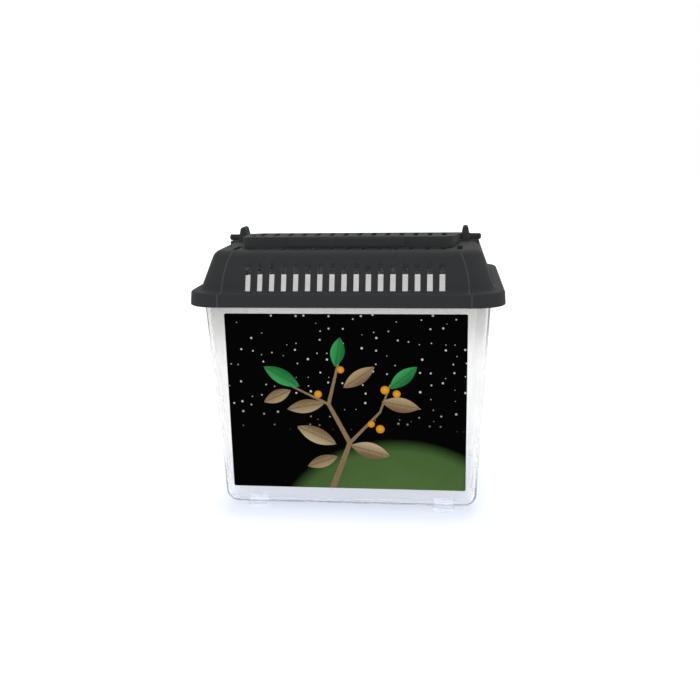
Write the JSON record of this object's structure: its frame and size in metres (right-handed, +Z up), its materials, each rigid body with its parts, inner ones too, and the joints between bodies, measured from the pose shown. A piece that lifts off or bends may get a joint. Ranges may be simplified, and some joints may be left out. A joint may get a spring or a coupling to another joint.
{
  "type": "plastic pet keeper",
  "caption": "Small clear tapered tub with a black slotted lift-off lid, a fold-down carry handle, a feeding flap and a black front label.",
  "frame": {"origin": "on the ground under the middle of the tub, which is the bounding box's bottom centre", "axes": "+X along the width, to the right as seen from the front; +Y from the front with the label to the back; +Z up"},
  "size_m": [0.1206, 0.0886, 0.1114],
  "materials": {
    "clear_plastic": "clear, gloss",
    "black_plastic": "satin moulded",
    "label_print": "printed film, semi-gloss"
  },
  "bodies": {
    "tub_body": {"tub": "clear_plastic", "label": "label_print"},
    "lid_body": {"lid": "black_plastic"},
    "handle_body": {"handle": "black_plastic"},
    "hatch_body": {"feeding_hatch": "black_plastic"}
  },
  "joints": [
    {"name": "lid_lift", "type": "slide", "parent": "tub_body", "child": "lid_body", "axis": [0, 0, 1], "range_m": [0, 0.06]},
    {"name": "handle_hinge", "type": "hinge", "parent": "lid_body", "child": "handle_body", "pos_m": [0, 0, 0.10705], "axis": [-1, 0, 0], "range_deg": [0, 175]},
    {"name": "hatch_hinge", "type": "hinge", "parent": "lid_body", "child": "hatch_body", "pos_m": [0, 0.011, 0.1034], "axis": [-1, 0, 0], "range_deg": [0, 95]}
  ]
}
